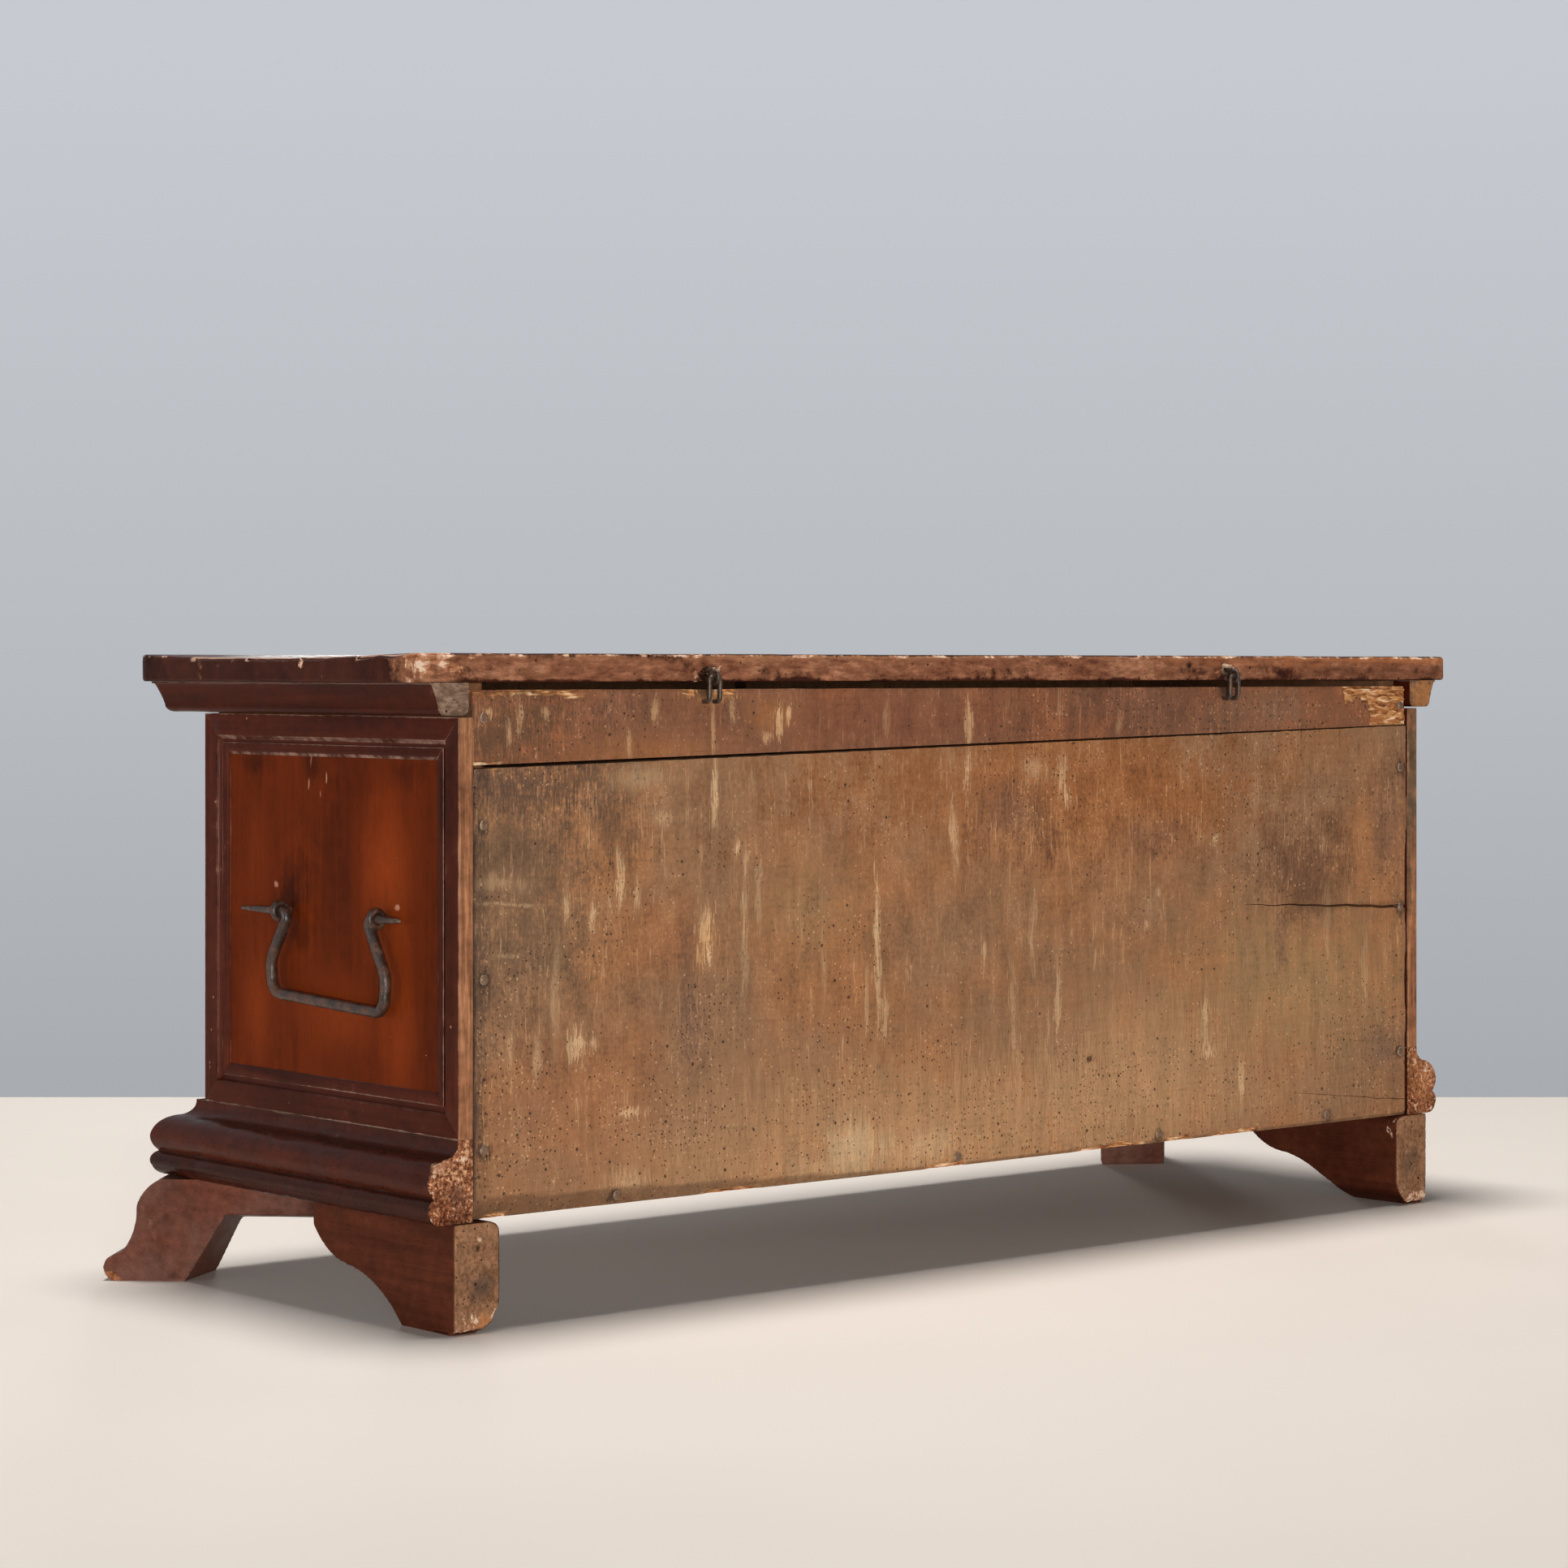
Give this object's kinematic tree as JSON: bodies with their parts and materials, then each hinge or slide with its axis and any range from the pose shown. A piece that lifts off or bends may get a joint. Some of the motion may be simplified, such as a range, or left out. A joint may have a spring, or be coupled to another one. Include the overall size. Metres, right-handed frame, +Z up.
{
  "type": "cassone",
  "caption": "Long low wooden chest with a hinged overhanging lid, mitred panel frames, a moulded base, bracket feet and swinging iron handles.",
  "frame": {"origin": "on the floor, at the middle of the bounding box seen from above", "axes": "+Z up, +Y towards the back with the hinges, +X along the length, towards the end that shows at the picture's left"},
  "size_m": [1.4618, 0.5376, 0.6018],
  "materials": {
    "moulded_wood": "dark brown old varnish, worn on the arrises",
    "field_wood": "red-brown satin varnish",
    "lid_wood": "red-brown varnish, worn pale at the corners",
    "foot_wood": "dark varnish on carved sides, raw and worm-eaten behind",
    "carcass_wood": "old brown wood",
    "raw_back_wood": "raw, aged and stained, with worm holes",
    "raw_floor_wood": "raw sawn wood",
    "forged_iron": "forged, rust-brown with polished wear"
  },
  "bodies": {
    "carcass": {"back_board_lower": "raw_back_wood", "back_board_upper": "raw_back_wood", "back_nails": "forged_iron", "base_moulding_front": "moulded_wood", "base_moulding_left": "moulded_wood", "base_moulding_right": "moulded_wood", "bottom_board_front": "raw_floor_wood", "bottom_board_rear": "raw_floor_wood", "end_board_left": "carcass_wood", "end_board_right": "carcass_wood", "end_panel_left": "field_wood", "end_panel_right": "field_wood", "end_rail_bottom_left": "moulded_wood", "end_rail_bottom_right": "moulded_wood", "end_rail_top_left": "moulded_wood", "end_rail_top_right": "moulded_wood", "end_stile_front_left": "moulded_wood", "end_stile_front_right": "moulded_wood", "end_stile_rear_left": "moulded_wood", "end_stile_rear_right": "moulded_wood", "foot_front_left": "foot_wood", "foot_front_right": "foot_wood", "foot_rear_left": "foot_wood", "foot_rear_right": "foot_wood", "front_board": "carcass_wood", "front_panel_left": "field_wood", "front_panel_right": "field_wood", "front_rail_bottom_left": "moulded_wood", "front_rail_bottom_right": "moulded_wood", "front_rail_top_left": "moulded_wood", "front_rail_top_right": "moulded_wood", "front_stile_inner_left": "moulded_wood", "front_stile_inner_right": "moulded_wood", "front_stile_outer_left": "moulded_wood", "front_stile_outer_right": "moulded_wood", "handle_staples_left": "forged_iron", "handle_staples_right": "forged_iron", "hinge_staple_left": "forged_iron", "hinge_staple_right": "forged_iron", "keyhole_pins": "forged_iron", "keyhole_plate": "forged_iron", "lock_case": "forged_iron"},
    "lid": {"lid_plank": "lid_wood", "lid_moulding_right": "lid_wood", "lid_moulding_left": "lid_wood", "lid_moulding_front": "lid_wood", "lid_eye_right": "forged_iron", "lid_eye_left": "forged_iron", "lid_catch": "forged_iron"},
    "bail_right": {"bail_right": "forged_iron"},
    "bail_left": {"bail_left": "forged_iron"},
    "lock_bolt": {"lock_bolt": "forged_iron"}
  },
  "joints": [
    {"name": "lid_hinge", "type": "hinge", "parent": "carcass", "child": "lid", "pos_m": [0, 0.26084, 0.58], "axis": [-1, 0, 0], "range_deg": [0, 100]},
    {"name": "bail_right_swing", "type": "hinge", "parent": "carcass", "child": "bail_right", "pos_m": [0.651, 0.05234, 0.361], "axis": [0, -1, 0], "range_deg": [-3.5, 175]},
    {"name": "bail_left_swing", "type": "hinge", "parent": "carcass", "child": "bail_left", "pos_m": [-0.651, 0.05234, 0.361], "axis": [0, 1, 0], "range_deg": [-3.5, 175]},
    {"name": "bolt_slide", "type": "slide", "parent": "carcass", "child": "lock_bolt", "axis": [-1, 0, 0], "range_m": [0, 0.012]}
  ]
}
